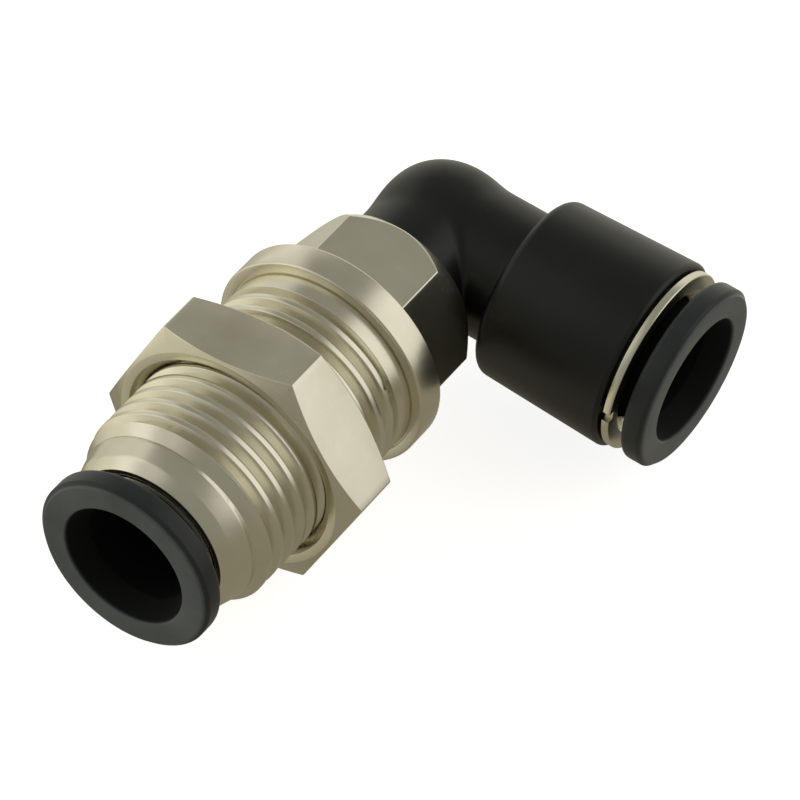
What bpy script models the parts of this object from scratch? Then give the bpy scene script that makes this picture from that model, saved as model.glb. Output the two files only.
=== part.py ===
"""Bulkhead elbow push-to-connect fitting for 10 mm tube.

A threaded bulkhead body carries a lock nut and a swivelling plastic elbow. Each of the two
tube ports holds its own cartridge: release sleeve, guide ring, claw ring, claw seat, tube
seal and backup ring.

Frame: metres. The bulkhead's axis is Y and port A faces -Y. The elbow's arm, port B, points
along +X. The origin is on the bulkhead's axis, in the plane where its flange seats on the panel.
"""
import math

import bmesh
import bpy
from mathutils import Matrix

MM = 0.001

# Round pieces, and the angle between faces that counts as an edge
OUTER_STEPS = 36
INNER_STEPS = 24
MERGE_DISTANCE = 0.000001
SHARP_ANGLE = math.radians(25.0)
# How far a cutter reaches past the face that it opens
CUT_PAST = 1.0 * MM

# The tube that the fitting takes
TUBE_RADIUS = 5.0 * MM
TUBE_STOP_DEPTH = 18.5 * MM
TUBE_BORE_RADIUS = TUBE_RADIUS + 0.2 * MM
FLOW_RADIUS = 3.9 * MM
FLOW_CORNER_CHAMFER = 1.0 * MM

# Bulkhead body, along Y. A hexagon's angle is a corner's, from X towards Z
THREAD_RADIUS = 10.0 * MM
THREAD_PITCH = 1.75 * MM
THREAD_DEPTH = 0.95 * MM
THREAD_START = -23.15 * MM
THREAD_TURNS = 12
CREST_WIDTH = 0.3 * THREAD_PITCH
FIRST_CREST_RADIUS = 9.7 * MM
SHANK_RADIUS = 9.95 * MM
SHANK_START = -1.9 * MM
NOSE_END = -26.35 * MM
NOSE_LIP_RADIUS = 7.75 * MM
NOSE_SHOULDER_RADIUS = 9.2 * MM
NOSE_SHOULDER = -23.95 * MM
NOSE_SHOULDER_END = -23.35 * MM
NOSE_ROUNDING = 1.8 * MM
MOUTH_CHAMFER = 0.2 * MM
FLANGE_RADIUS = 11.15 * MM
FLANGE_THICKNESS = 3.05 * MM
FLANGE_ROUNDING = 0.15 * MM
FLANGE_UNDERCUT_RADIUS = 10.15 * MM
FLANGE_UNDERCUT_DEPTH = 0.2 * MM
BODY_HEX_FLATS = 17.0 * MM
BODY_HEX_END = 11.5 * MM
BODY_HEX_ANGLE = math.radians(55.4)
BODY_HEX_OVERLAP = 0.4 * MM
BODY_CORE_RADIUS = 8.2 * MM
BODY_CORE_CHAMFER = 0.3 * MM
SPIGOT_RADIUS = 5.0 * MM
SPIGOT_END = 15.6 * MM
SPIGOT_BORE_RADIUS = 3.4 * MM
SPIGOT_BORE_START = 7.6 * MM
SPIGOT_CHAMFER = 0.3 * MM

# Lock nut, along Y
NUT_FLATS = 24.0 * MM
NUT_BACK = -7.9 * MM
NUT_THICKNESS = 6.5 * MM
NUT_BORE_RADIUS = 10.15 * MM
NUT_BORE_CHAMFER = 0.7 * MM
NUT_ANGLE = math.radians(68.0)

# The turned chamfer on a hexagon's corners: how far it reaches along and across the axis
CHAMFER_WIDTH = 2.7 * MM
NUT_CHAMFER_LENGTH = 1.5 * MM
NUT_FACE_RADIUS = 12.15 * MM
BODY_CHAMFER_LENGTH = 3.9 * MM
BODY_HEX_FACE_RADIUS = 8.4 * MM

# Elbow
ELBOW_CORNER = 19.75 * MM
ELBOW_LEG_START = 11.8 * MM
NECK_RADIUS = 6.7 * MM
CORNER_ROUNDING = 5.6 * MM
LEG_EDGE_ROUNDING = 0.3 * MM
SWIVEL_BORE_RADIUS = 5.2 * MM
SWIVEL_BORE_END = 15.9 * MM
ARM_SHOULDER = 9.4 * MM
ARM_END = 23.25 * MM
ARM_INNER_RADIUS = 9.0 * MM
ARM_OUTER_RADIUS = 9.45 * MM
ARM_EDGE_ROUNDING = 0.45 * MM
ARM_SHOULDER_ROUNDING = 1.0 * MM

# Swivel snap ring and O-ring, along Y
SNAP_CENTRE = 12.7 * MM
SNAP_THICKNESS = 0.8 * MM
SNAP_INNER_RADIUS = 4.45 * MM
SNAP_OUTER_RADIUS = 5.55 * MM
SNAP_SLOT = 1.6 * MM
O_RING_CENTRE = 14.35 * MM
O_RING_MIDDLE_RADIUS = 4.58 * MM
O_RING_SECTION = 0.47 * MM
O_RING_SIDES = 8
GROOVE_PLAY = 0.15 * MM

# Port cartridges, as depths from the release sleeve's outer face
FACE_A = -30.2 * MM
FACE_B = 27.9 * MM
SOCKET_RADIUS = 7.25 * MM
CARTRIDGE_RADIUS = 7.1 * MM
SLEEVE_FLANGE_RADIUS = 9.1 * MM
SLEEVE_FLANGE_THICKNESS = 2.3 * MM
SLEEVE_EDGE_ROUNDING = 0.4 * MM
SLEEVE_BORE_RADIUS = TUBE_RADIUS + 0.25 * MM
SLEEVE_MOUTH_RADIUS = 6.4 * MM
SLEEVE_MOUTH_LENGTH = 2.3 * MM
SLEEVE_BARREL_RADIUS = 6.05 * MM
SLEEVE_BEAD_RADIUS = 6.45 * MM
SLEEVE_BEAD_LENGTH = 0.6 * MM
SLEEVE_TIP_RADIUS = 5.65 * MM
SLEEVE_END = 8.3 * MM
MOUTH_DEPTH = 3.8 * MM
GUIDE_A_START = 3.6 * MM
GUIDE_LIP_END = 5.3 * MM
GUIDE_END = 8.7 * MM
GUIDE_LIP_RADIUS = 6.25 * MM
GUIDE_RECESS_RADIUS = 6.65 * MM
GUIDE_COLLAR_RADIUS = 9.0 * MM
GUIDE_COLLAR_MOUTH_RADIUS = 7.4 * MM
GUIDE_COLLAR_MOUTH_DEPTH = 0.9 * MM
GUIDE_COLLAR_CHAMFER = 0.2 * MM
GUIDE_COLLAR_END = 4.35 * MM
CLAW_START = 8.85 * MM
CLAW_THICKNESS = 0.35 * MM
CLAW_RIM_RADIUS = 6.3 * MM
CLAW_TIP_RADIUS = TUBE_RADIUS - 0.1 * MM
CLAW_TIP_DEPTH = 10.5 * MM
CLAW_TEETH = 12
CLAW_SLOT_WIDTH = 0.7 * MM
CLAW_SLOT_LENGTH = 2.2 * MM
CLAW_SLOT_DEPTH = 4.0 * MM
SEAT_START = 9.4 * MM
SEAT_END = 12.0 * MM
SEAT_RADIUS = TUBE_RADIUS + 0.4 * MM
SEAT_CONE_RADIUS = 6.6 * MM
SEAT_CONE_DEPTH = 1.2 * MM
SEAL_START = 12.15 * MM
SEAL_END = 14.45 * MM
SEAL_LIP_RADIUS = TUBE_RADIUS - 0.15 * MM
SEAL_GROOVE_RADIUS = 6.1 * MM
SEAL_GROOVE_DEPTH = 0.9 * MM
SEAL_GROOVE_HALF_WIDTH = 0.4 * MM
SMALL_CHAMFER = 0.35 * MM
BACKUP_START = 14.6 * MM
BACKUP_END = 15.7 * MM
SOCKET_END = 15.85 * MM

# Colours (linear), roughness and metallic value of each material
FINISHES = {
    "nickel": ((0.62, 0.58, 0.48), 0.28, 1.0),
    "elbow_plastic": ((0.016, 0.016, 0.015), 0.42, 0.0),
    "sleeve_plastic": ((0.045, 0.045, 0.043), 0.5, 0.0),
    "spring_steel": ((0.55, 0.55, 0.56), 0.3, 1.0),
    "seal_rubber": ((0.02, 0.02, 0.02), 0.7, 0.0),
    "white_plastic": ((0.6, 0.59, 0.55), 0.5, 0.0),
}


def clear_scene():
    for thing in list(bpy.data.objects):
        bpy.data.objects.remove(thing, do_unlink=True)


def new_collection(name):
    collection = bpy.data.collections.new(name)
    bpy.context.scene.collection.children.link(collection)
    return collection


def new_material(name, finish):
    colour, roughness, metallic = FINISHES[finish]
    material = bpy.data.materials.new(name)
    material.use_nodes = True
    shader = material.node_tree.nodes["Principled BSDF"]
    shader.inputs["Base Color"].default_value = (*colour, 1.0)
    shader.inputs["Roughness"].default_value = roughness
    shader.inputs["Metallic"].default_value = metallic
    return material


def new_empty(name, location, rotation):
    empty = bpy.data.objects.new(name, None)
    empty.location = location
    empty.rotation_euler = rotation
    PARTS.objects.link(empty)
    return empty


def place(thing, collection, parent):
    """Puts an object in a collection, on its parent's axis."""
    collection.objects.link(thing)
    thing.parent = parent


def finish_part(part, finish):
    """Applies a part's modifiers, shades its round faces smooth and gives it its own material."""
    depsgraph = bpy.context.evaluated_depsgraph_get()
    shape = bpy.data.meshes.new_from_object(part.evaluated_get(depsgraph))
    part.modifiers.clear()
    part.data = shape
    shape.shade_smooth()
    shape.set_sharp_from_angle(angle=SHARP_ANGLE)
    shape.materials.clear()
    shape.materials.append(new_material(part.name + "_material", finish))


def finish_cutter(cutter):
    cutter.hide_render = True
    cutter.display_type = "WIRE"


def unit(across, along):
    length = math.hypot(across, along)
    return across / length, along / length


def rounded(corners, segments=3):
    """Turns corners (radius, height, rounding) into points, each rounding an arc."""
    points = []
    count = len(corners)
    for index, (radius, height, rounding) in enumerate(corners):
        if rounding == 0.0:
            points.append((radius, height))
            continue
        before = corners[index - 1]
        after = corners[(index + 1) % count]
        to_before = unit(before[0] - radius, before[1] - height)
        to_after = unit(after[0] - radius, after[1] - height)
        half = math.acos(to_before[0] * to_after[0] + to_before[1] * to_after[1]) / 2.0
        reach = rounding / math.tan(half)
        middle = unit(to_before[0] + to_after[0], to_before[1] + to_after[1])
        centre = (radius + middle[0] * rounding / math.sin(half),
                  height + middle[1] * rounding / math.sin(half))
        start = (radius + to_before[0] * reach - centre[0], height + to_before[1] * reach - centre[1])
        end = (radius + to_after[0] * reach - centre[0], height + to_after[1] * reach - centre[1])
        first = math.atan2(start[1], start[0])
        sweep = math.remainder(math.atan2(end[1], end[0]) - first, 2.0 * math.pi)
        for step in range(segments + 1):
            angle = first + sweep * step / segments
            points.append((centre[0] + rounding * math.cos(angle), centre[1] + rounding * math.sin(angle)))
    return points


def runs_down_outside(points):
    """True where a profile goes down its outer side, which makes a turned shape face out."""
    doubled_area = 0.0
    for (radius, height), (next_radius, next_height) in zip(points, points[1:] + points[:1]):
        doubled_area += radius * next_height - next_radius * height
    return doubled_area < 0.0


def turned(name, points, collection, parent, steps=OUTER_STEPS):
    """Turns a profile of (radius, height) about the parent's Z axis.

    A profile that starts and ends on the axis is left open there, and any other is a closed loop.
    """
    if not runs_down_outside(points):
        points = points[::-1]
    is_solid = points[0][0] == 0.0 and points[-1][0] == 0.0
    edges = [(index, index + 1) for index in range(len(points) - 1)]
    if not is_solid:
        edges.append((len(points) - 1, 0))
    mesh = bpy.data.meshes.new(name)
    mesh.from_pydata([(radius, 0.0, height) for radius, height in points], edges, [])
    piece = bpy.data.objects.new(name, mesh)
    place(piece, collection, parent)
    screw = piece.modifiers.new("turn", "SCREW")
    screw.axis = "Z"
    screw.steps = steps
    screw.render_steps = steps
    screw.use_merge_vertices = True
    screw.merge_threshold = MERGE_DISTANCE
    screw.use_smooth_shade = False
    return piece


def turned_cutter(name, points, parent, steps=OUTER_STEPS):
    cutter = turned(name, points, CUTTERS, parent, steps)
    finish_cutter(cutter)
    return cutter


def hexagon(name, flats, low, high, angle, collection, parent):
    """A six-sided bar between two heights, with one corner at an angle from X about Z."""
    mesh = bpy.data.meshes.new(name)
    shape = bmesh.new()
    bmesh.ops.create_cone(shape, cap_ends=True, segments=6, depth=high - low,
                          radius1=flats / math.sqrt(3.0), radius2=flats / math.sqrt(3.0))
    # The cone's first corner is on Y
    turn = Matrix.Rotation(angle - math.radians(90.0), 3, "Z")
    bmesh.ops.rotate(shape, verts=shape.verts, matrix=turn)
    bmesh.ops.translate(shape, verts=shape.verts, vec=(0.0, 0.0, (low + high) / 2.0))
    shape.to_mesh(mesh)
    shape.free()
    piece = bpy.data.objects.new(name, mesh)
    place(piece, collection, parent)
    return piece


def boolean(piece, operation, tool):
    modifier = piece.modifiers.new(operation.lower() + "_" + tool.name, "BOOLEAN")
    modifier.operation = operation
    modifier.solver = "EXACT"
    modifier.object = tool


def thread_profile():
    """Crests and roots of the thread, from its far end, where the first crest is low, to the shank."""
    points = []
    crest_radius = FIRST_CREST_RADIUS
    for turn in range(THREAD_TURNS):
        root = THREAD_START + turn * THREAD_PITCH
        crest = root + THREAD_PITCH / 2.0
        points.append((THREAD_RADIUS - THREAD_DEPTH, root))
        points.append((crest_radius, crest - CREST_WIDTH / 2.0))
        points.append((crest_radius, crest + CREST_WIDTH / 2.0))
        crest_radius = THREAD_RADIUS
    return points


def body_outline():
    nose = rounded([
        (0.0, NOSE_END, 0.0),
        (NOSE_LIP_RADIUS, NOSE_END, 0.0),
        (NOSE_SHOULDER_RADIUS, NOSE_SHOULDER, NOSE_ROUNDING),
        (NOSE_SHOULDER_RADIUS, NOSE_SHOULDER_END, 0.0),
    ])
    thread_end = THREAD_START + THREAD_TURNS * THREAD_PITCH
    back = rounded([
        (THREAD_RADIUS - THREAD_DEPTH, thread_end, 0.0),
        (SHANK_RADIUS, SHANK_START, 0.0),
        (SHANK_RADIUS, FLANGE_UNDERCUT_DEPTH, 0.0),
        (FLANGE_UNDERCUT_RADIUS, FLANGE_UNDERCUT_DEPTH, 0.0),
        (FLANGE_UNDERCUT_RADIUS, 0.0, 0.0),
        (FLANGE_RADIUS, 0.0, FLANGE_ROUNDING),
        (FLANGE_RADIUS, FLANGE_THICKNESS, FLANGE_ROUNDING),
        (BODY_CORE_RADIUS, FLANGE_THICKNESS, 0.0),
        (BODY_CORE_RADIUS, BODY_HEX_END - BODY_CORE_CHAMFER, 0.0),
        (BODY_CORE_RADIUS - BODY_CORE_CHAMFER, BODY_HEX_END, 0.0),
    ], segments=2)
    return nose + thread_profile() + back + spigot_outline()


def spigot_outline():
    """The spigot that the elbow turns on, with a groove for the snap ring and one for the O-ring."""
    snap_low = SNAP_CENTRE - SNAP_THICKNESS / 2.0 - GROOVE_PLAY
    snap_high = SNAP_CENTRE + SNAP_THICKNESS / 2.0 + GROOVE_PLAY
    seal_low = O_RING_CENTRE - O_RING_SECTION - GROOVE_PLAY
    seal_high = O_RING_CENTRE + O_RING_SECTION + GROOVE_PLAY
    seal_floor = O_RING_MIDDLE_RADIUS - O_RING_SECTION - GROOVE_PLAY
    return [
        (SPIGOT_RADIUS, BODY_HEX_END),
        (SPIGOT_RADIUS, snap_low),
        (SNAP_INNER_RADIUS - GROOVE_PLAY, snap_low),
        (SNAP_INNER_RADIUS - GROOVE_PLAY, snap_high),
        (SPIGOT_RADIUS, snap_high),
        (SPIGOT_RADIUS, seal_low),
        (seal_floor, seal_low),
        (seal_floor, seal_high),
        (SPIGOT_RADIUS, seal_high),
        (SPIGOT_RADIUS, SPIGOT_END - SPIGOT_CHAMFER),
        (SPIGOT_RADIUS - SPIGOT_CHAMFER, SPIGOT_END),
        (0.0, SPIGOT_END),
    ]


def body_bore():
    """The hollow through the body: port A's socket, the tube stop and the way through the spigot."""
    return [
        (0.0, NOSE_END - CUT_PAST),
        (SOCKET_RADIUS + MOUTH_CHAMFER, NOSE_END - CUT_PAST),
        (SOCKET_RADIUS + MOUTH_CHAMFER, NOSE_END),
        (SOCKET_RADIUS, NOSE_END + MOUTH_CHAMFER),
        (SOCKET_RADIUS, FACE_A + SOCKET_END),
        (TUBE_BORE_RADIUS, FACE_A + SOCKET_END),
        (TUBE_BORE_RADIUS, FACE_A + TUBE_STOP_DEPTH),
        (FLOW_RADIUS, FACE_A + TUBE_STOP_DEPTH),
        (FLOW_RADIUS, SPIGOT_BORE_START),
        (SPIGOT_BORE_RADIUS, SPIGOT_BORE_START + (FLOW_RADIUS - SPIGOT_BORE_RADIUS)),
        (SPIGOT_BORE_RADIUS, SPIGOT_END + CUT_PAST),
        (0.0, SPIGOT_END + CUT_PAST),
    ]


def chamfer_barrel(name, face_radius, length, low, high, parent, chamfers_low_end):
    """A turned shape that cuts a hexagon's corners back at its high end, and at its low end too."""
    full_radius = face_radius + CHAMFER_WIDTH
    points = [(0.0, low)]
    if chamfers_low_end:
        points += [(face_radius, low), (full_radius, low + length)]
    else:
        points += [(full_radius, low)]
    points += [(full_radius, high - length), (face_radius, high), (0.0, high)]
    return turned_cutter(name, points, parent)


def make_bulkhead_body(axis):
    body = turned("bulkhead_body", body_outline(), PARTS, axis)
    low = FLANGE_THICKNESS - BODY_HEX_OVERLAP
    hexagon_tool = hexagon("body_hexagon", BODY_HEX_FLATS, low, BODY_HEX_END,
                           -BODY_HEX_ANGLE, CUTTERS, axis)
    barrel = chamfer_barrel("body_hexagon_barrel", BODY_HEX_FACE_RADIUS, BODY_CHAMFER_LENGTH,
                            low, BODY_HEX_END, axis, chamfers_low_end=False)
    boolean(hexagon_tool, "INTERSECT", barrel)
    finish_cutter(hexagon_tool)
    boolean(body, "UNION", hexagon_tool)
    boolean(body, "DIFFERENCE", turned_cutter("body_bore", body_bore(), axis))
    finish_part(body, "nickel")


def make_lock_nut(axis):
    front = NUT_BACK - NUT_THICKNESS
    nut = hexagon("lock_nut", NUT_FLATS, front, NUT_BACK, -NUT_ANGLE, PARTS, axis)
    barrel = chamfer_barrel("nut_barrel", NUT_FACE_RADIUS, NUT_CHAMFER_LENGTH, front, NUT_BACK, axis,
                            chamfers_low_end=True)
    boolean(nut, "INTERSECT", barrel)
    mouth_radius = NUT_BORE_RADIUS + NUT_BORE_CHAMFER + CUT_PAST
    bore = turned_cutter("nut_bore", [
        (0.0, front - CUT_PAST),
        (mouth_radius, front - CUT_PAST),
        (NUT_BORE_RADIUS, front + NUT_BORE_CHAMFER),
        (NUT_BORE_RADIUS, NUT_BACK - NUT_BORE_CHAMFER),
        (mouth_radius, NUT_BACK + CUT_PAST),
        (0.0, NUT_BACK + CUT_PAST),
    ], axis)
    boolean(nut, "DIFFERENCE", bore)
    finish_part(nut, "nickel")


def leg_outline():
    """The elbow's lower leg, from its open end to the rounded outer corner. Heights are from the corner."""
    return rounded([
        (0.0, ELBOW_LEG_START - ELBOW_CORNER, 0.0),
        (NECK_RADIUS, ELBOW_LEG_START - ELBOW_CORNER, LEG_EDGE_ROUNDING),
        (NECK_RADIUS, NECK_RADIUS, CORNER_ROUNDING),
        (0.0, NECK_RADIUS, 0.0),
    ], segments=4)


def arm_outline():
    """The elbow's arm: neck, rounded shoulder and the wider socket for port B.

    Heights are depths from port B's face, so they shrink towards the mouth.
    """
    return rounded([
        (0.0, FACE_B - ARM_END, 0.0),
        (ARM_OUTER_RADIUS, FACE_B - ARM_END, ARM_EDGE_ROUNDING),
        (ARM_INNER_RADIUS, FACE_B - ARM_SHOULDER, ARM_SHOULDER_ROUNDING),
        (NECK_RADIUS, FACE_B - ARM_SHOULDER, 0.0),
        (NECK_RADIUS, FACE_B + NECK_RADIUS, CORNER_ROUNDING),
        (0.0, FACE_B + NECK_RADIUS, 0.0),
    ], segments=4)


def leg_bore():
    """The swivel bore with its snap ring groove, and the flow bore up to the corner."""
    snap_low = SNAP_CENTRE - SNAP_THICKNESS / 2.0 - GROOVE_PLAY
    snap_high = SNAP_CENTRE + SNAP_THICKNESS / 2.0 + GROOVE_PLAY
    groove = SNAP_OUTER_RADIUS + GROOVE_PLAY
    heights = [
        (0.0, ELBOW_LEG_START - CUT_PAST),
        (SWIVEL_BORE_RADIUS, ELBOW_LEG_START - CUT_PAST),
        (SWIVEL_BORE_RADIUS, snap_low),
        (groove, snap_low),
        (groove, snap_high),
        (SWIVEL_BORE_RADIUS, snap_high),
        (SWIVEL_BORE_RADIUS, SWIVEL_BORE_END),
        (FLOW_RADIUS, SWIVEL_BORE_END),
        (FLOW_RADIUS, ELBOW_CORNER + FLOW_RADIUS - FLOW_CORNER_CHAMFER),
        (FLOW_RADIUS - FLOW_CORNER_CHAMFER, ELBOW_CORNER + FLOW_RADIUS),
        (0.0, ELBOW_CORNER + FLOW_RADIUS),
    ]
    return [(radius, height - ELBOW_CORNER) for radius, height in heights]


def arm_bore():
    """Port B's socket, the tube stop and the flow bore to the corner, as depths from the face."""
    return [
        (0.0, FACE_B - ARM_END - CUT_PAST),
        (SOCKET_RADIUS, FACE_B - ARM_END - CUT_PAST),
        (SOCKET_RADIUS, SOCKET_END),
        (TUBE_BORE_RADIUS, SOCKET_END),
        (TUBE_BORE_RADIUS, TUBE_STOP_DEPTH),
        (FLOW_RADIUS, TUBE_STOP_DEPTH),
        (FLOW_RADIUS, FACE_B),
        (0.0, FACE_B),
    ]


def make_elbow_body(corner, port):
    elbow = turned("elbow_body", leg_outline(), PARTS, corner)
    arm = turned_cutter("elbow_arm", arm_outline(), port)
    boolean(elbow, "UNION", arm)
    boolean(elbow, "DIFFERENCE", turned_cutter("leg_bore", leg_bore(), corner))
    boolean(elbow, "DIFFERENCE", turned_cutter("arm_bore", arm_bore(), port))
    finish_part(elbow, "elbow_plastic")


def make_swivel_snap_ring(axis):
    """A split spring ring that sits half in the spigot's groove and half in the elbow's."""
    low = SNAP_CENTRE - SNAP_THICKNESS / 2.0
    high = SNAP_CENTRE + SNAP_THICKNESS / 2.0
    ring = turned("swivel_snap_ring", [
        (SNAP_OUTER_RADIUS, high),
        (SNAP_OUTER_RADIUS, low),
        (SNAP_INNER_RADIUS, low),
        (SNAP_INNER_RADIUS, high),
    ], PARTS, axis, INNER_STEPS)
    size = (SNAP_SLOT, 2.0 * (SNAP_OUTER_RADIUS - SNAP_INNER_RADIUS), 2.0 * SNAP_THICKNESS)
    centre = (0.0, -(SNAP_INNER_RADIUS + SNAP_OUTER_RADIUS) / 2.0, SNAP_CENTRE)
    slot = box_tool("snap_ring_slot", size, [centre], axis)
    boolean(ring, "DIFFERENCE", slot)
    finish_part(ring, "spring_steel")


def box_tool(name, size, centres, parent, angles=None):
    """A cutter of separate boxes, each turned about Z by its own angle before it is moved."""
    mesh = bpy.data.meshes.new(name)
    shape = bmesh.new()
    for index, centre in enumerate(centres):
        angle = angles[index] if angles else 0.0
        matrix = Matrix.Translation(centre) @ Matrix.Rotation(angle, 4, "Z") @ Matrix.Diagonal((*size, 1.0))
        bmesh.ops.create_cube(shape, size=1.0, matrix=matrix)
    shape.to_mesh(mesh)
    shape.free()
    tool = bpy.data.objects.new(name, mesh)
    place(tool, CUTTERS, parent)
    finish_cutter(tool)
    return tool


def make_swivel_o_ring(axis):
    points = []
    for step in range(O_RING_SIDES):
        angle = 2.0 * math.pi * step / O_RING_SIDES
        points.append((O_RING_MIDDLE_RADIUS + O_RING_SECTION * math.cos(angle),
                       O_RING_CENTRE + O_RING_SECTION * math.sin(angle)))
    finish_part(turned("swivel_o_ring", points, PARTS, axis, INNER_STEPS), "seal_rubber")


def make_release_sleeve(side, port):
    """The ring that is pressed in to let the tube go: flange, barrel and the bead that keeps it in."""
    bead_start = GUIDE_LIP_END + GROOVE_PLAY
    sleeve = turned("release_sleeve_" + side, rounded([
        (SLEEVE_MOUTH_RADIUS, 0.0, 0.0),
        (SLEEVE_FLANGE_RADIUS, 0.0, SLEEVE_EDGE_ROUNDING),
        (SLEEVE_FLANGE_RADIUS, SLEEVE_FLANGE_THICKNESS, SLEEVE_EDGE_ROUNDING),
        (SLEEVE_BARREL_RADIUS, SLEEVE_FLANGE_THICKNESS, 0.0),
        (SLEEVE_BARREL_RADIUS, bead_start, 0.0),
        (SLEEVE_BEAD_RADIUS, bead_start, 0.0),
        (SLEEVE_BEAD_RADIUS, bead_start + SLEEVE_BEAD_LENGTH, 0.0),
        (SLEEVE_BARREL_RADIUS, bead_start + 2.0 * SLEEVE_BEAD_LENGTH, 0.0),
        (SLEEVE_TIP_RADIUS, SLEEVE_END, 0.0),
        (SLEEVE_BORE_RADIUS, SLEEVE_END, 0.0),
        (SLEEVE_BORE_RADIUS, SLEEVE_MOUTH_LENGTH, 0.0),
    ]), PARTS, port)
    finish_part(sleeve, "sleeve_plastic")


def make_guide_ring(side, port, has_collar):
    """The ring that guides the sleeve and holds the cartridge in. Port B's ends in a visible collar."""
    if has_collar:
        outside = [
            (GUIDE_COLLAR_MOUTH_RADIUS, MOUTH_DEPTH),
            (GUIDE_COLLAR_RADIUS - GUIDE_COLLAR_CHAMFER, MOUTH_DEPTH),
            (GUIDE_COLLAR_RADIUS, MOUTH_DEPTH + GUIDE_COLLAR_CHAMFER),
            (GUIDE_COLLAR_RADIUS, GUIDE_COLLAR_END),
            (CARTRIDGE_RADIUS, GUIDE_COLLAR_END),
        ]
        lip_start = MOUTH_DEPTH + GUIDE_COLLAR_MOUTH_DEPTH
    else:
        outside = [
            (CARTRIDGE_RADIUS - MOUTH_CHAMFER, GUIDE_A_START),
            (CARTRIDGE_RADIUS, GUIDE_A_START + MOUTH_CHAMFER),
        ]
        lip_start = GUIDE_A_START
    ring = turned("guide_ring_" + side, outside + [
        (CARTRIDGE_RADIUS, GUIDE_END),
        (GUIDE_RECESS_RADIUS, GUIDE_END),
        (GUIDE_RECESS_RADIUS, GUIDE_LIP_END),
        (GUIDE_LIP_RADIUS, GUIDE_LIP_END),
        (GUIDE_LIP_RADIUS, lip_start),
    ], PARTS, port)
    finish_part(ring, "nickel")


def make_claw_ring(side, port):
    """A spring steel ring whose slanted teeth bite the tube, cut apart by radial slots."""
    ring = turned("claw_ring_" + side, [
        (CARTRIDGE_RADIUS, CLAW_START),
        (CARTRIDGE_RADIUS, CLAW_START + CLAW_THICKNESS),
        (CLAW_RIM_RADIUS, CLAW_START + CLAW_THICKNESS),
        (CLAW_TIP_RADIUS, CLAW_TIP_DEPTH + CLAW_THICKNESS / 2.0),
        (CLAW_TIP_RADIUS, CLAW_TIP_DEPTH),
        (CLAW_RIM_RADIUS + CLAW_THICKNESS / 2.0, CLAW_START),
    ], PARTS, port, INNER_STEPS)
    angles = [2.0 * math.pi * (tooth + 0.5) / CLAW_TEETH for tooth in range(CLAW_TEETH)]
    # The slots stop short of the rim, so that it stays whole
    middle = CLAW_RIM_RADIUS - CLAW_SLOT_LENGTH / 2.0
    centres = [(middle * math.cos(angle), middle * math.sin(angle), CLAW_TIP_DEPTH) for angle in angles]
    size = (CLAW_SLOT_LENGTH, CLAW_SLOT_WIDTH, CLAW_SLOT_DEPTH)
    slots = box_tool("claw_slots_" + side, size, centres, port, angles)
    boolean(ring, "DIFFERENCE", slots)
    finish_part(ring, "spring_steel")


def make_claw_seat(side, port):
    """The collar behind the claws, with a cone that the teeth lie against."""
    seat = turned("claw_seat_" + side, [
        (CARTRIDGE_RADIUS, SEAT_START),
        (CARTRIDGE_RADIUS, SEAT_END),
        (SEAT_RADIUS, SEAT_END),
        (SEAT_RADIUS, SEAT_START + SEAT_CONE_DEPTH),
        (SEAT_CONE_RADIUS, SEAT_START),
    ], PARTS, port, INNER_STEPS)
    finish_part(seat, "white_plastic")


def make_tube_seal(side, port):
    """A lip seal: a square back, a groove that air fills, and an inner lip that grips the tube."""
    seal = turned("tube_seal_" + side, [
        (CARTRIDGE_RADIUS, SEAL_START),
        (CARTRIDGE_RADIUS, SEAL_END),
        (SEAL_GROOVE_RADIUS + SEAL_GROOVE_HALF_WIDTH, SEAL_END),
        (SEAL_GROOVE_RADIUS, SEAL_END - SEAL_GROOVE_DEPTH),
        (SEAL_GROOVE_RADIUS - SEAL_GROOVE_HALF_WIDTH, SEAL_END),
        (SEAL_LIP_RADIUS, SEAL_END - SMALL_CHAMFER),
        (SEAL_LIP_RADIUS + SMALL_CHAMFER, SEAL_START),
    ], PARTS, port, INNER_STEPS)
    finish_part(seal, "seal_rubber")


def make_seal_backup(side, port):
    """The ring that backs the seal at the bottom of its bore."""
    ring = turned("seal_backup_" + side, [
        (CARTRIDGE_RADIUS, BACKUP_START),
        (CARTRIDGE_RADIUS, BACKUP_END),
        (SLEEVE_BORE_RADIUS, BACKUP_END),
        (SLEEVE_BORE_RADIUS, BACKUP_START + SMALL_CHAMFER),
        (SLEEVE_BORE_RADIUS + SMALL_CHAMFER, BACKUP_START),
    ], PARTS, port, INNER_STEPS)
    finish_part(ring, "white_plastic")


def make_cartridge(side, port, has_collar):
    make_release_sleeve(side, port)
    make_guide_ring(side, port, has_collar)
    make_claw_ring(side, port)
    make_claw_seat(side, port)
    make_tube_seal(side, port)
    make_seal_backup(side, port)


clear_scene()
PARTS = new_collection("bulkhead_elbow_fitting")
CUTTERS = new_collection("cutters")

ALONG_Y = (math.radians(-90.0), 0.0, 0.0)
bulkhead_axis = new_empty("bulkhead_axis", (0.0, 0.0, 0.0), ALONG_Y)
elbow_corner = new_empty("elbow_corner", (0.0, ELBOW_CORNER, 0.0), ALONG_Y)
port_a = new_empty("port_a", (0.0, FACE_A, 0.0), ALONG_Y)
port_b = new_empty("port_b", (FACE_B, ELBOW_CORNER, 0.0), (0.0, math.radians(-90.0), 0.0))

make_bulkhead_body(bulkhead_axis)
make_lock_nut(bulkhead_axis)
make_elbow_body(elbow_corner, port_b)
make_swivel_snap_ring(bulkhead_axis)
make_swivel_o_ring(bulkhead_axis)
make_cartridge("a", port_a, has_collar=False)
make_cartridge("b", port_b, has_collar=True)
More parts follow.
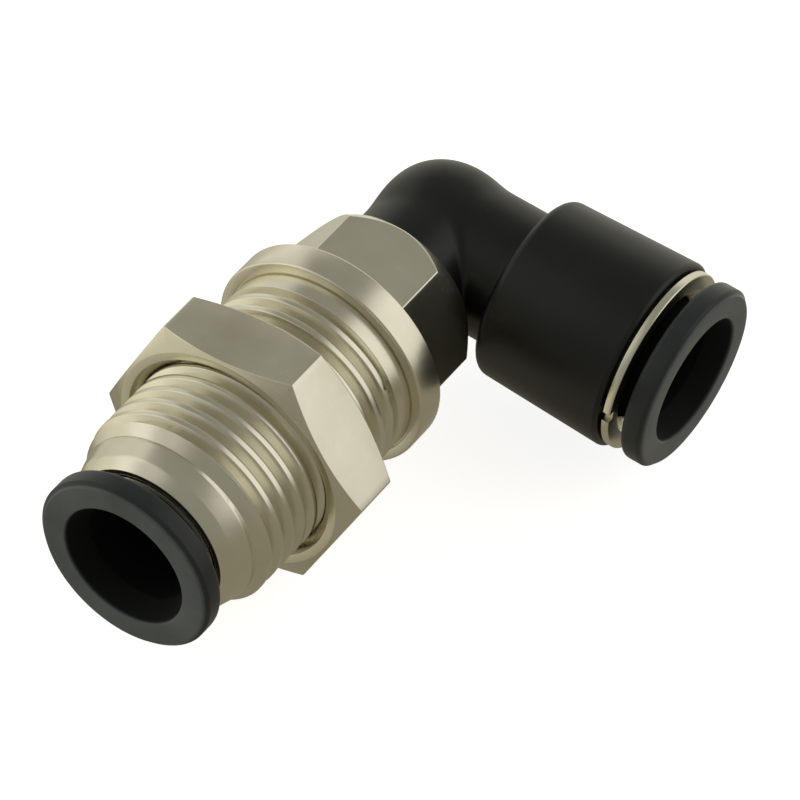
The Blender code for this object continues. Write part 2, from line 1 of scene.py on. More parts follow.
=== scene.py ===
"""Looks of the bulkhead elbow push-to-connect fitting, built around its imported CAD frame.

Row frame: metres. The bulkhead's axis is Y and port A faces -Y. The elbow's arm, port B, points
along +X from the corner. Angles round the bulkhead's axis go from +X towards +Z.
"""

import math

import bmesh
import bpy
import numpy as np
from mathutils import Matrix, Vector


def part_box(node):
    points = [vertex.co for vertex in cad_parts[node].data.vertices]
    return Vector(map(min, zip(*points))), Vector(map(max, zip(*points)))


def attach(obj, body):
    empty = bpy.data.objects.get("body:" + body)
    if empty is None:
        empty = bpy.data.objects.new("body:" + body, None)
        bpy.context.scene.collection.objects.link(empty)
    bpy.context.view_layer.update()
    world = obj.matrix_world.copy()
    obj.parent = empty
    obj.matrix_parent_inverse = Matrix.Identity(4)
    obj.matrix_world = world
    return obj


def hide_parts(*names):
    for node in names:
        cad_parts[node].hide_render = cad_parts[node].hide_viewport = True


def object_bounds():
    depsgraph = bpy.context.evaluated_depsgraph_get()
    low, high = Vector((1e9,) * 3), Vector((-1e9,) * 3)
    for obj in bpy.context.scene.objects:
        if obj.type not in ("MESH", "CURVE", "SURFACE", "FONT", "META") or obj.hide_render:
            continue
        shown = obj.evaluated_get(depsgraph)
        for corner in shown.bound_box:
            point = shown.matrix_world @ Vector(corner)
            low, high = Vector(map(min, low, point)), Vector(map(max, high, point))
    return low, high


MM = 0.001

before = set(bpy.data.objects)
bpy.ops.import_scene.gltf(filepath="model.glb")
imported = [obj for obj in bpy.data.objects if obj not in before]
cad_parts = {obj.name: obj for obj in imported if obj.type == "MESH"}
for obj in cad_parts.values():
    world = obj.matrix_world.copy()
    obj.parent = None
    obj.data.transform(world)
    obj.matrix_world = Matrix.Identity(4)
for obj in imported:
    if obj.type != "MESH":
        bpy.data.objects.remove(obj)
cad_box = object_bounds()

# ---------------------------------------------------------------- places taken from the CAD
NOSE_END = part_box("bulkhead_body")[0].y
SPIGOT_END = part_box("bulkhead_body")[1].y
FACE_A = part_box("release_sleeve_a")[0].y
FACE_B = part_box("release_sleeve_b")[1].x
NUT_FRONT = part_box("lock_nut")[0].y
NUT_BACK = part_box("lock_nut")[1].y
CORNER = (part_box("release_sleeve_b")[0].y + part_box("release_sleeve_b")[1].y) / 2.0

# ---------------------------------------------------------------- sizes of the detailed pieces
THREAD_RADIUS = 10.0 * MM
THREAD_PITCH = 1.75 * MM
THREAD_DEPTH = 0.95 * MM
THREAD_ROOT_RADIUS = THREAD_RADIUS - THREAD_DEPTH
THREAD_LOW = -23.15 * MM
THREAD_HIGH = -2.15 * MM
THREAD_PHASE = -16.72 * MM
THREAD_CREST = 0.34 * THREAD_PITCH
THREAD_ROOT = 0.09 * THREAD_PITCH
CREST_ROUNDING = 0.13 * MM
ROOT_ROUNDING = 0.1 * MM
LOW_CHAMFER_SLOPE = 0.9
HIGH_CHAMFER_SLOPE = 2.0
SHANK_RADIUS = 9.95 * MM
SHANK_START = -1.9 * MM
NOSE_LIP_RADIUS = 7.75 * MM
NOSE_CORNER_RADIUS = 8.62 * MM
NOSE_CORNER = -25.3 * MM
NOSE_SHOULDER_RADIUS = 9.12 * MM
NOSE_SHOULDER = -23.5 * MM
FLANGE_RADIUS = 11.15 * MM
FLANGE_THICKNESS = 3.05 * MM
UNDERCUT_RADIUS = 10.15 * MM
UNDERCUT_DEPTH = 0.2 * MM
BODY_FLATS = 17.0 * MM
BODY_HEX_END = 11.5 * MM
BODY_FACE_RADIUS = 8.4 * MM
BODY_CHAMFER_SLOPE = 1.444
BODY_ANGLE = math.radians(55.4)
BODY_EDGE = 0.18 * MM
NUT_FLATS = 24.0 * MM
NUT_BORE_RADIUS = 10.15 * MM
NUT_ANGLE = math.radians(68.0)
NUT_EDGE = 0.22 * MM
NUT_FACE_RADIUS = 11.7 * MM
NUT_CHAMFER_SLOPE = 0.46
NUT_COUNTERSINK = 0.75 * MM
NUT_OUTER_ROUNDING = 0.12 * MM
NUT_INNER_ROUNDING = 0.06 * MM
NECK_RADIUS = 6.7 * MM
CORNER_ROUNDING = 5.6 * MM
CORNER_FILLET = 0.55 * MM
BEND_PIVOT = 8.2 * MM
BEND_REACH = 14.0 * MM
LEG_START = 11.8 * MM
ARM_SHOULDER = 9.4 * MM
ARM_END = 23.25 * MM
ARM_INNER_RADIUS = 9.0 * MM
ARM_OUTER_RADIUS = 9.45 * MM
SOCKET_RADIUS = 7.25 * MM
SOCKET_END = 15.85 * MM
TUBE_STOP = 18.5 * MM
TUBE_BORE_RADIUS = 5.2 * MM
FLOW_RADIUS = 3.9 * MM
FLOW_BEND_ROUNDING = 0.6 * FLOW_RADIUS
FLOW_BEND_FILLET = 0.1 * MM
SPIGOT_RADIUS = 5.0 * MM
SPIGOT_BORE_RADIUS = 3.4 * MM
SPIGOT_CONE_START = 7.6 * MM
SPIGOT_CONE_END = 8.1 * MM
SNAP_GROOVE_RADIUS = 4.3 * MM
SNAP_GROOVE_START = 12.15 * MM
SNAP_GROOVE_END = 13.25 * MM
O_RING_GROOVE_RADIUS = 3.96 * MM
O_RING_GROOVE_START = 13.73 * MM
O_RING_GROOVE_END = 14.97 * MM
O_RING_CENTRE = 14.35 * MM
O_RING_RADIUS = 4.58 * MM
O_RING_HALF_THICKNESS = 0.47 * MM
SWIVEL_BORE_RADIUS = 5.2 * MM
SWIVEL_BORE_END = 15.9 * MM
NOTCH_ANGLE = math.radians(1.0)
NOTCH_HALF_WIDTH = math.radians(3.2)
NOTCH_WALL = math.radians(0.1)
NOTCH_RADIUS = 8.35 * MM

# ---------------------------------------------------------------- how finely the pieces are divided
FLAT_COLUMNS = 27
ROUND_COLUMNS = 144
INNER_COLUMNS = 96
BEND_ROWS = 48
FLOW_BEND_ROWS = 24
BEND_HALVINGS = 40
O_RING_CORNERS = 20
SAME_POINT = 2e-7
SLIVER = 1e-8
SHARP_EDGE = math.radians(32.0)


# ---------------------------------------------------------------- shape tools
def unit(across, along):
    length = math.hypot(across, along)
    return across / length, along / length


def rounded(corners, segments=4):
    """Corners (radius, height, rounding) to points, always the same number for the same list."""
    points = []
    count = len(corners)
    for index, (radius, height, rounding) in enumerate(corners):
        if rounding == 0.0:
            points.append((radius, height))
            continue
        before = corners[index - 1]
        after = corners[(index + 1) % count]
        to_before = unit(before[0] - radius, before[1] - height)
        to_after = unit(after[0] - radius, after[1] - height)
        cosine = to_before[0] * to_after[0] + to_before[1] * to_after[1]
        half = math.acos(max(-1.0, min(1.0, cosine))) / 2.0
        reach = rounding / math.tan(half)
        middle = unit(to_before[0] + to_after[0], to_before[1] + to_after[1])
        centre = (radius + middle[0] * rounding / math.sin(half),
                  height + middle[1] * rounding / math.sin(half))
        start = (radius + to_before[0] * reach - centre[0], height + to_before[1] * reach - centre[1])
        end = (radius + to_after[0] * reach - centre[0], height + to_after[1] * reach - centre[1])
        first = math.atan2(start[1], start[0])
        sweep = math.remainder(math.atan2(end[1], end[0]) - first, 2.0 * math.pi)
        for step in range(segments + 1):
            angle = first + sweep * step / segments
            points.append((centre[0] + rounding * math.cos(angle), centre[1] + rounding * math.sin(angle)))
    return points


def skin(name, rows):
    """A closed mesh from rows of points, shaped (rows, columns, 3). The last row leads back to the first,
    and in each row the last column lies on the first."""
    row_count, column_count = rows.shape[:2]
    mesh = bpy.data.meshes.new(name)
    faces = []
    for row in range(row_count):
        here = row * column_count
        there = (row + 1) % row_count * column_count
        for column in range(column_count - 1):
            faces.append((here + column, here + column + 1, there + column + 1, there + column))
    mesh.from_pydata(rows.reshape(-1, 3).tolist(), [], faces)
    shape = bmesh.new()
    shape.from_mesh(mesh)
    bmesh.ops.remove_doubles(shape, verts=shape.verts, dist=SAME_POINT)
    bmesh.ops.dissolve_degenerate(shape, edges=shape.edges, dist=SLIVER)
    bmesh.ops.recalc_face_normals(shape, faces=shape.faces)
    shape.to_mesh(mesh)
    shape.free()
    mesh.shade_smooth()
    mesh.set_sharp_from_angle(angle=SHARP_EDGE)
    piece = bpy.data.objects.new(name, mesh)
    bpy.context.scene.collection.objects.link(piece)
    return piece


def round_angles(count=ROUND_COLUMNS):
    return np.linspace(0.0, 2.0 * math.pi, count + 1)


def on_bulkhead(radii, heights, angles):
    """Points round the bulkhead's axis, at heights along +Y."""
    return np.stack([radii * np.cos(angles), heights, radii * np.sin(angles)], axis=-1)


def on_port_a(radii, depths, angles):
    """Points round the bulkhead's axis, at depths behind port A's face."""
    return on_bulkhead(radii, FACE_A + depths, angles)


def on_port_b(radii, depths, angles):
    """Points round the elbow's arm, at depths behind port B's face."""
    return np.stack([FACE_B - depths, CORNER - radii * np.cos(angles), radii * np.sin(angles)], axis=-1)


def lathe(name, profile, place, count=ROUND_COLUMNS):
    """Turns a closed profile of (radius, height) about an axis."""
    angles = round_angles(count)
    rows = []
    for radius, height in profile:
        rows.append(place(np.full(angles.shape, radius), np.full(angles.shape, height), angles))
    return skin(name, np.array(rows))


def hex_lathe(angles, column):
    """Rows of points from an outline that changes with the angle, such as that of a chamfered hexagon."""
    columns = []
    for angle in angles:
        outline = np.array(column(angle))
        columns.append(on_bulkhead(outline[:, 0], outline[:, 1], np.full(len(outline), angle)))
    return np.array(columns).transpose(1, 0, 2)


def hex_angles(corner_angle, flats, edge_rounding):
    """Column angles all the way round, with extra ones where the hexagon's rounded edges are."""
    corner_radius = flats / math.sqrt(3.0)
    tangent = math.atan(edge_rounding * math.tan(math.pi / 6.0) * math.cos(math.pi / 6.0) / corner_radius)
    angles = []
    for side in range(6):
        corner = corner_angle + side * math.pi / 3.0
        angles += [corner - tangent, corner - tangent / 2.0, corner, corner + tangent / 2.0]
        first = corner + tangent
        last = corner + math.pi / 3.0 - tangent
        angles += list(np.linspace(first, last, FLAT_COLUMNS)[:-1])
    angles.append(angles[0] + 2.0 * math.pi)
    return np.array(angles)


def hex_radius(angle, corner_angle, flats, edge_rounding):
    """How far a hexagon with rounded edges reaches at an angle."""
    off = (angle - corner_angle + math.pi / 6.0) % (math.pi / 3.0) - math.pi / 6.0
    flat_distance = flats / 2.0 / math.cos(math.pi / 6.0 - abs(off))
    centre = flats / math.sqrt(3.0) - 2.0 * edge_rounding / math.sqrt(3.0)
    across = centre * math.sin(off)
    if abs(across) > edge_rounding:
        return flat_distance
    arc_distance = centre * math.cos(off) + math.sqrt(edge_rounding ** 2 - across ** 2)
    return min(flat_distance, arc_distance)


# ---------------------------------------------------------------- bulkhead body
def thread_rows(angles):
    """The helical thread, as rows that climb with the angle, with a turned chamfer at both ends."""
    outline = rounded([
        (THREAD_ROOT_RADIUS, (-THREAD_PITCH - THREAD_ROOT) / 2.0, 0.0),
        (THREAD_ROOT_RADIUS, (-THREAD_PITCH + THREAD_ROOT) / 2.0, ROOT_ROUNDING),
        (THREAD_RADIUS, -THREAD_CREST / 2.0, CREST_ROUNDING),
        (THREAD_RADIUS, THREAD_CREST / 2.0, CREST_ROUNDING),
        (THREAD_ROOT_RADIUS, (THREAD_PITCH - THREAD_ROOT) / 2.0, ROOT_ROUNDING),
        (THREAD_ROOT_RADIUS, (THREAD_PITCH + THREAD_ROOT) / 2.0, 0.0),
    ], segments=3)[1:-1]
    offsets = np.array([height for _, height in outline])
    radii = np.array([radius for radius, _ in outline])
    first_turn = math.floor((THREAD_LOW - THREAD_PHASE) / THREAD_PITCH) - 1
    last_turn = math.ceil((THREAD_HIGH - THREAD_PHASE) / THREAD_PITCH) + 2
    climb = THREAD_PITCH * angles / (2.0 * math.pi)
    rows = []
    for turn in range(first_turn, last_turn + 1):
        for offset in offsets:
            heights = THREAD_PHASE + turn * THREAD_PITCH + offset - climb
            heights = np.clip(heights, THREAD_LOW, THREAD_HIGH)
            from_crest = (heights + climb - THREAD_PHASE) / THREAD_PITCH
            from_crest = (from_crest - np.round(from_crest)) * THREAD_PITCH
            low_chamfer = THREAD_ROOT_RADIUS + (heights - THREAD_LOW) * LOW_CHAMFER_SLOPE
            high_chamfer = THREAD_ROOT_RADIUS + (THREAD_HIGH - heights) * HIGH_CHAMFER_SLOPE
            limit = np.minimum(low_chamfer, high_chamfer)
            reach = np.minimum(np.interp(from_crest, offsets, radii), limit)
            rows.append(on_bulkhead(reach, heights, angles))
    return rows


def chamfered_hexagon(angle, corner_angle, flats, edge_rounding, face_radius, high, slope):
    """Radius of a hexagon at an angle, and the height where the turned chamfer of its end meets it."""
    radius = hex_radius(angle, corner_angle, flats, edge_rounding)
    return radius, high - (radius - face_radius) * slope


def body_column(angle):
    """The body's outline at one angle, from behind the thread round the spigot and the bore to the nose."""
    hexagon, meets = chamfered_hexagon(angle, BODY_ANGLE, BODY_FLATS, BODY_EDGE, BODY_FACE_RADIUS,
                                       BODY_HEX_END, BODY_CHAMFER_SLOPE)
    return rounded([
        (THREAD_ROOT_RADIUS, THREAD_HIGH, 0.0),
        (SHANK_RADIUS, SHANK_START, 0.06 * MM),
        (SHANK_RADIUS, UNDERCUT_DEPTH, 0.06 * MM),
        (UNDERCUT_RADIUS, UNDERCUT_DEPTH, 0.05 * MM),
        (UNDERCUT_RADIUS, 0.0, 0.05 * MM),
        (FLANGE_RADIUS, 0.0, 0.22 * MM),
        (FLANGE_RADIUS, FLANGE_THICKNESS, 0.2 * MM),
        (hexagon, FLANGE_THICKNESS, 0.12 * MM),
        (hexagon, meets, 0.3 * MM),
        (BODY_FACE_RADIUS, BODY_HEX_END, 0.15 * MM),
        (SPIGOT_RADIUS, BODY_HEX_END, 0.1 * MM),
        (SPIGOT_RADIUS, SNAP_GROOVE_START, 0.0),
        (SNAP_GROOVE_RADIUS, SNAP_GROOVE_START, 0.0),
        (SNAP_GROOVE_RADIUS, SNAP_GROOVE_END, 0.0),
        (SPIGOT_RADIUS, SNAP_GROOVE_END, 0.0),
        (SPIGOT_RADIUS, O_RING_GROOVE_START, 0.0),
        (O_RING_GROOVE_RADIUS, O_RING_GROOVE_START, 0.0),
        (O_RING_GROOVE_RADIUS, O_RING_GROOVE_END, 0.0),
        (SPIGOT_RADIUS, O_RING_GROOVE_END, 0.0),
        (SPIGOT_RADIUS, SPIGOT_END, 0.25 * MM),
        (SPIGOT_BORE_RADIUS, SPIGOT_END, 0.1 * MM),
        (SPIGOT_BORE_RADIUS, SPIGOT_CONE_END, 0.0),
        (FLOW_RADIUS, SPIGOT_CONE_START, 0.0),
        (FLOW_RADIUS, FACE_A + TUBE_STOP, 0.1 * MM),
        (TUBE_BORE_RADIUS, FACE_A + TUBE_STOP, 0.0),
        (TUBE_BORE_RADIUS, FACE_A + SOCKET_END, 0.1 * MM),
        (SOCKET_RADIUS, FACE_A + SOCKET_END, 0.0),
        (SOCKET_RADIUS, NOSE_END, 0.12 * MM),
        (NOSE_LIP_RADIUS, NOSE_END, 0.15 * MM),
        (NOSE_CORNER_RADIUS, NOSE_CORNER, 1.0 * MM),
        (NOSE_SHOULDER_RADIUS, NOSE_SHOULDER, 0.2 * MM),
        (THREAD_ROOT_RADIUS, THREAD_LOW, 0.0),
    ], segments=5)


def make_bulkhead_body():
    angles = hex_angles(BODY_ANGLE, BODY_FLATS, BODY_EDGE)
    rows = np.concatenate([np.array(thread_rows(angles)), hex_lathe(angles, body_column)])
    return skin("bulkhead_body_turned", rows)


# ---------------------------------------------------------------- lock nut
def nut_column(angle):
    """The nut's outline at one angle: both chamfered ends of the hexagon and the countersunk bore."""
    hexagon, back = chamfered_hexagon(angle, NUT_ANGLE, NUT_FLATS, NUT_EDGE, NUT_FACE_RADIUS,
                                      NUT_BACK, NUT_CHAMFER_SLOPE)
    front = NUT_FRONT + (NUT_BACK - back)
    return rounded([
        (hexagon, front, NUT_OUTER_ROUNDING),
        (hexagon, back, NUT_OUTER_ROUNDING),
        (NUT_FACE_RADIUS, NUT_BACK, NUT_OUTER_ROUNDING),
        (NUT_BORE_RADIUS + NUT_COUNTERSINK, NUT_BACK, NUT_INNER_ROUNDING),
        (NUT_BORE_RADIUS, NUT_BACK - NUT_COUNTERSINK, NUT_INNER_ROUNDING),
        (NUT_BORE_RADIUS, NUT_FRONT + NUT_COUNTERSINK, NUT_INNER_ROUNDING),
        (NUT_BORE_RADIUS + NUT_COUNTERSINK, NUT_FRONT, NUT_INNER_ROUNDING),
        (NUT_FACE_RADIUS, NUT_FRONT, NUT_OUTER_ROUNDING),
    ], segments=4)


def make_lock_nut():
    return skin("lock_nut_milled", hex_lathe(hex_angles(NUT_ANGLE, NUT_FLATS, NUT_EDGE), nut_column))


# ---------------------------------------------------------------- elbow
def bullet(radial, along, radius, rounding):
    """Signed distance to a bar that ends, past the elbow's corner, in a rounded edge."""
    core = radius - rounding
    outside = np.hypot(np.maximum(radial - core, 0.0), np.maximum(along - core, 0.0))
    inside = np.minimum(np.maximum(radial - core, along - core), 0.0)
    return outside + inside - rounding


def elbow_distance(points, radius, rounding, fillet):
    """Signed distance to the leg's bar and the arm's bar, joined with a small fillet."""
    leg = bullet(np.hypot(points[..., 0], points[..., 2]), points[..., 1] - CORNER, radius, rounding)
    arm = bullet(np.hypot(points[..., 1] - CORNER, points[..., 2]), -points[..., 0], radius, rounding)
    mix = np.clip(0.5 + 0.5 * (arm - leg) / fillet, 0.0, 1.0)
    return arm * (1.0 - mix) + leg * mix - fillet * mix * (1.0 - mix)


def corner_rows(radius, rounding, fillet, angles, steps):
    """Rows round the elbow's corner, on planes that all pass through a pivot inside the bend."""
    rows = []
    for turn in np.linspace(0.0, math.pi / 2.0, steps + 1):
        if turn <= math.pi / 4.0:
            centre = np.array([0.0, CORNER - BEND_PIVOT + BEND_PIVOT * math.tan(turn), 0.0])
        else:
            centre = np.array([BEND_PIVOT - BEND_PIVOT * math.tan(math.pi / 2.0 - turn), CORNER, 0.0])
        inward = np.array([math.cos(turn), -math.sin(turn), 0.0])
        rays = np.cos(angles)[:, None] * inward + np.sin(angles)[:, None] * np.array([0.0, 0.0, 1.0])
        near = np.zeros(len(angles))
        far = np.full(len(angles), BEND_REACH)
        for _ in range(BEND_HALVINGS):
            middle = (near + far) / 2.0
            inside = elbow_distance(centre + middle[:, None] * rays, radius, rounding, fillet) < 0.0
            near = np.where(inside, middle, near)
            far = np.where(inside, far, middle)
        rows.append(centre + near[:, None] * rays)
    return rows


def make_elbow():
    """One skin: up the leg, round the corner, over the arm, into its socket and back through the bores."""
    angles = round_angles()

    def leg_row(radius, height):
        return on_bulkhead(np.full(angles.shape, radius), np.full(angles.shape, height), angles)

    def arm_row(radius, along):
        return on_port_b(np.full(angles.shape, radius), np.full(angles.shape, FACE_B - along), angles)

    leg = rounded([
        (SWIVEL_BORE_RADIUS, SWIVEL_BORE_END, 0.0),
        (SWIVEL_BORE_RADIUS, LEG_START, 0.12 * MM),
        (NECK_RADIUS, LEG_START, 0.3 * MM),
        (NECK_RADIUS, CORNER - BEND_PIVOT, 0.0),
    ], segments=4)
    rows = [leg_row(radius, height) for radius, height in leg[:-1]]
    rows += corner_rows(NECK_RADIUS, CORNER_ROUNDING, CORNER_FILLET, angles, BEND_ROWS)
    arm = rounded([
        (NECK_RADIUS, BEND_PIVOT, 0.0),
        (NECK_RADIUS, ARM_SHOULDER, 0.25 * MM),
        (ARM_INNER_RADIUS, ARM_SHOULDER, 1.0 * MM),
        (ARM_OUTER_RADIUS, ARM_END, 0.5 * MM),
        (SOCKET_RADIUS, ARM_END, 0.15 * MM),
        (SOCKET_RADIUS, FACE_B - SOCKET_END, 0.0),
        (TUBE_BORE_RADIUS, FACE_B - SOCKET_END, 0.1 * MM),
        (TUBE_BORE_RADIUS, FACE_B - TUBE_STOP, 0.0),
        (FLOW_RADIUS, FACE_B - TUBE_STOP, 0.1 * MM),
        (FLOW_RADIUS, BEND_PIVOT, 0.0),
    ], segments=6)
    rows += [arm_row(radius, along) for radius, along in arm[1:-1]]
    rows += corner_rows(FLOW_RADIUS, FLOW_BEND_ROUNDING, FLOW_BEND_FILLET, angles, FLOW_BEND_ROWS)[::-1]
    rows += [leg_row(FLOW_RADIUS, SWIVEL_BORE_END)]
    return skin("elbow_moulding", np.array(rows))


# ---------------------------------------------------------------- port cartridges
# Outlines in millimetres: radius, depth behind the port's face, rounding
SLEEVE = [
    (6.4, 0.0, 0.14),
    (8.6, 0.0, 0.12),
    (9.1, 0.45, 0.14),
    (9.1, 2.3, 0.5),
    (6.05, 2.3, 0.25),
    (6.05, 5.45, 0.0),
    (6.45, 5.45, 0.08),
    (6.45, 6.1, 0.1),
    (6.05, 6.7, 0.0),
    (5.65, 8.3, 0.12),
    (5.25, 8.3, 0.08),
    (5.25, 2.3, 0.4),
]
GUIDE_A = [
    (6.9, 3.6, 0.0),
    (7.1, 3.8, 0.0),
    (7.1, 8.7, 0.05),
    (6.65, 8.7, 0.05),
    (6.65, 5.3, 0.0),
    (6.25, 5.3, 0.05),
    (6.25, 3.6, 0.12),
]
GUIDE_B = [
    (7.4, 3.58, 0.1),
    (9.0, 3.58, 0.16),
    (9.0, 4.35, 0.08),
    (7.1, 4.35, 0.0),
    (7.1, 8.7, 0.05),
    (6.65, 8.7, 0.05),
    (6.65, 5.3, 0.0),
    (6.25, 5.3, 0.05),
    (6.25, 4.7, 0.05),
]
SEAT = [
    (7.1, 9.4, 0.0),
    (7.1, 12.0, 0.08),
    (5.4, 12.0, 0.15),
    (5.4, 10.6, 0.12),
    (6.6, 9.4, 0.06),
]
SEAL = [
    (7.1, 12.15, 0.1),
    (7.1, 14.45, 0.1),
    (6.5, 14.45, 0.08),
    (6.1, 13.55, 0.06),
    (5.7, 14.45, 0.08),
    (4.85, 14.1, 0.12),
    (5.2, 12.15, 0.12),
]
BACKUP = [
    (7.1, 14.6, 0.05),
    (7.1, 15.7, 0.05),
    (5.25, 15.7, 0.05),
    (5.25, 14.95, 0.0),
    (5.6, 14.6, 0.05),
]


def rounded_mm(corners, segments):
    """Rounds an outline that is given in millimetres."""
    return rounded([tuple(value * MM for value in corner) for corner in corners], segments)


def make_sleeve(name, place):
    """Release sleeve: flat face, chamfered rim, coned mouth, barrel with its bead."""
    return lathe(name, rounded_mm(SLEEVE, 5), place)


def make_inner_ring(name, corners, place):
    return lathe(name, rounded_mm(corners, 3), place, INNER_COLUMNS)


def make_guide_b():
    """The nickel guide ring whose collar shows round port B's mouth, with a small notch in its rim."""
    walls = [NOTCH_ANGLE - NOTCH_HALF_WIDTH, NOTCH_ANGLE + NOTCH_HALF_WIDTH]
    beside_walls = np.array([wall + side for wall in walls for side in (-NOTCH_WALL, NOTCH_WALL)])
    angles = np.unique(np.append(round_angles(), beside_walls % (2.0 * math.pi)))
    off = np.abs((angles - NOTCH_ANGLE + math.pi) % (2.0 * math.pi) - math.pi)
    in_notch = off < NOTCH_HALF_WIDTH
    rows = []
    for radius, depth in rounded_mm(GUIDE_B, 4):
        radii = np.where(in_notch, min(radius, NOTCH_RADIUS), radius)
        rows.append(on_port_b(radii, np.full(angles.shape, depth), angles))
    return skin("guide_ring_b_turned", np.array(rows))


def make_o_ring():
    around = 2.0 * math.pi * np.arange(O_RING_CORNERS) / O_RING_CORNERS
    radii = O_RING_RADIUS + O_RING_HALF_THICKNESS * np.cos(around)
    heights = O_RING_CENTRE + O_RING_HALF_THICKNESS * np.sin(around)
    return lathe("swivel_o_ring_moulded", list(zip(radii, heights)), on_bulkhead, INNER_COLUMNS)


# ---------------------------------------------------------------- materials
# Noise scales are in cells per metre, and colours are linear. A bump is its strength and its distance
TARNISH_SCALE = 90.0
SMEAR_SCALE = 260.0
RING_SCALE = 9000.0
PIT_SCALE = 3800.0
PIT_DEPTH = 0.35
NICKEL_ROUGH = 0.12
NICKEL_ROUGH_FROM_RINGS = 0.08
NICKEL_ROUGH_FROM_SMEARS = 0.16
NICKEL_COLOURS = [(0.25, (0.69, 0.65, 0.52)), (0.5, (0.79, 0.755, 0.63)), (0.8, (0.85, 0.82, 0.71))]
NICKEL_BUMP = (0.10, 0.06 * MM)
TURNED_RING_DEPTH = 0.5
MILLED_RING_DEPTH = 0.15
MOTTLE_SCALE = 140.0
GLOSS_SCALE = 420.0
WAVE_SCALE = 150.0
GRAIN_DEPTH = 0.3
PLASTIC_BUMP_DISTANCE = 0.1 * MM
# Painted shade: how far the release sleeves' colour is darkened inside their bores
BORE_SHADE = 0.12
BORE_EXTRA_ROUGHNESS = 0.45
BORE_EDGE = (6.2 * MM, 6.42 * MM)
# Painted highlight: how far the release sleeves' colour is brightened on their flat faces
FACE_PAINTED_HIGHLIGHT = 3.2
FACE_EDGE = (0.05 * MM, 0.25 * MM)
STEEL_GRAIN_SCALE = 1500.0
STEEL_COLOURS = [(0.3, (0.48, 0.48, 0.49)), (0.7, (0.66, 0.66, 0.67))]
STEEL_ROUGH = (0.22, 0.38)
STEEL_BUMP = (0.15, 0.05 * MM)


class Nodes:
    """Short calls for building the node tree of a material or a world."""

    def __init__(self, owner):
        owner.use_nodes = True
        self.owner = owner
        self.tree = owner.node_tree
        self.shader = self.tree.nodes.get("Principled BSDF")

    def node(self, kind, settings=None, **inputs):
        made = self.tree.nodes.new("ShaderNode" + kind)
        for key, value in (settings or {}).items():
            setattr(made, key, value)
        for key, value in inputs.items():
            self.feed(made.inputs[key.replace("_", " ")], value)
        return made

    def feed(self, socket, value):
        """Links a socket, or sets a constant on it."""
        if isinstance(value, bpy.types.NodeSocket):
            self.tree.links.new(value, socket)
        else:
            socket.default_value = value

    def math(self, operation, first, second=0.0):
        made = self.tree.nodes.new("ShaderNodeMath")
        made.operation = operation
        self.feed(made.inputs[0], first)
        self.feed(made.inputs[1], second)
        return made.outputs[0]

    def vector_math(self, operation, first, second):
        made = self.tree.nodes.new("ShaderNodeVectorMath")
        made.operation = operation
        self.feed(made.inputs[0], first)
        self.feed(made.inputs[1], second)
        return made.outputs

    def scaled(self, colour, factor):
        made = self.tree.nodes.new("ShaderNodeVectorMath")
        made.operation = "SCALE"
        self.feed(made.inputs[0], colour)
        self.feed(made.inputs["Scale"], factor)
        return made.outputs["Vector"]

    def bump(self, height, strength, distance):
        made = self.node("Bump", Strength=strength, Distance=distance, Height=height)
        self.feed(self.shader.inputs["Normal"], made.outputs["Normal"])

    def smooth_step(self, value, low, high):
        return self.node("MapRange", {"interpolation_type": "SMOOTHSTEP"}, Value=value, From_Min=low,
                         From_Max=high).outputs["Result"]

    def place(self):
        return self.node("TexCoord").outputs["Object"]

    def noise(self, where, scale, detail=4.0, roughness=0.6):
        made = self.node("TexNoise", Vector=where, Scale=scale, Detail=detail, Roughness=roughness)
        return made.outputs["Fac"]

    def ramp(self, factor, stops):
        """A factor turned into colours, given as (position, colour) stops."""
        made = self.node("ValToRGB", Fac=factor)
        ramp = made.color_ramp
        while len(ramp.elements) < len(stops):
            ramp.elements.new(0.5)
        for element, (position, colour) in zip(ramp.elements, stops):
            element.position = position
            element.color = (*colour, 1.0)
        return made.outputs["Color"]

    def spread(self, factor, low, high):
        """A factor of 0 to 1 turned into a value from low to high."""
        return self.node("MapRange", Value=factor, To_Min=low, To_Max=high).outputs["Result"]


def axis_distances(nodes, where, axis):
    """How far along the bulkhead's axis (Y) or port B's (X) a point is, and how far from that axis."""
    parts = nodes.node("SeparateXYZ", Vector=where).outputs
    if axis == "Y":
        along, first, second = parts["Y"], parts["X"], parts["Z"]
    else:
        along, second = parts["X"], parts["Z"]
        first = nodes.math("SUBTRACT", parts["Y"], CORNER)
    squares = nodes.math("ADD", nodes.math("MULTIPLY", first, first), nodes.math("MULTIPLY", second, second))
    return along, nodes.math("SQRT", squares)


def turning_marks(nodes, where, axis):
    """Fine rings left by the lathe: a one-way noise along the axis and outwards across end faces."""
    along, outward = axis_distances(nodes, where, axis)
    made = nodes.node("TexNoise", {"noise_dimensions": "1D"}, W=nodes.math("ADD", along, outward),
                      Scale=RING_SCALE, Detail=4.0, Roughness=0.6)
    return made.outputs["Fac"]


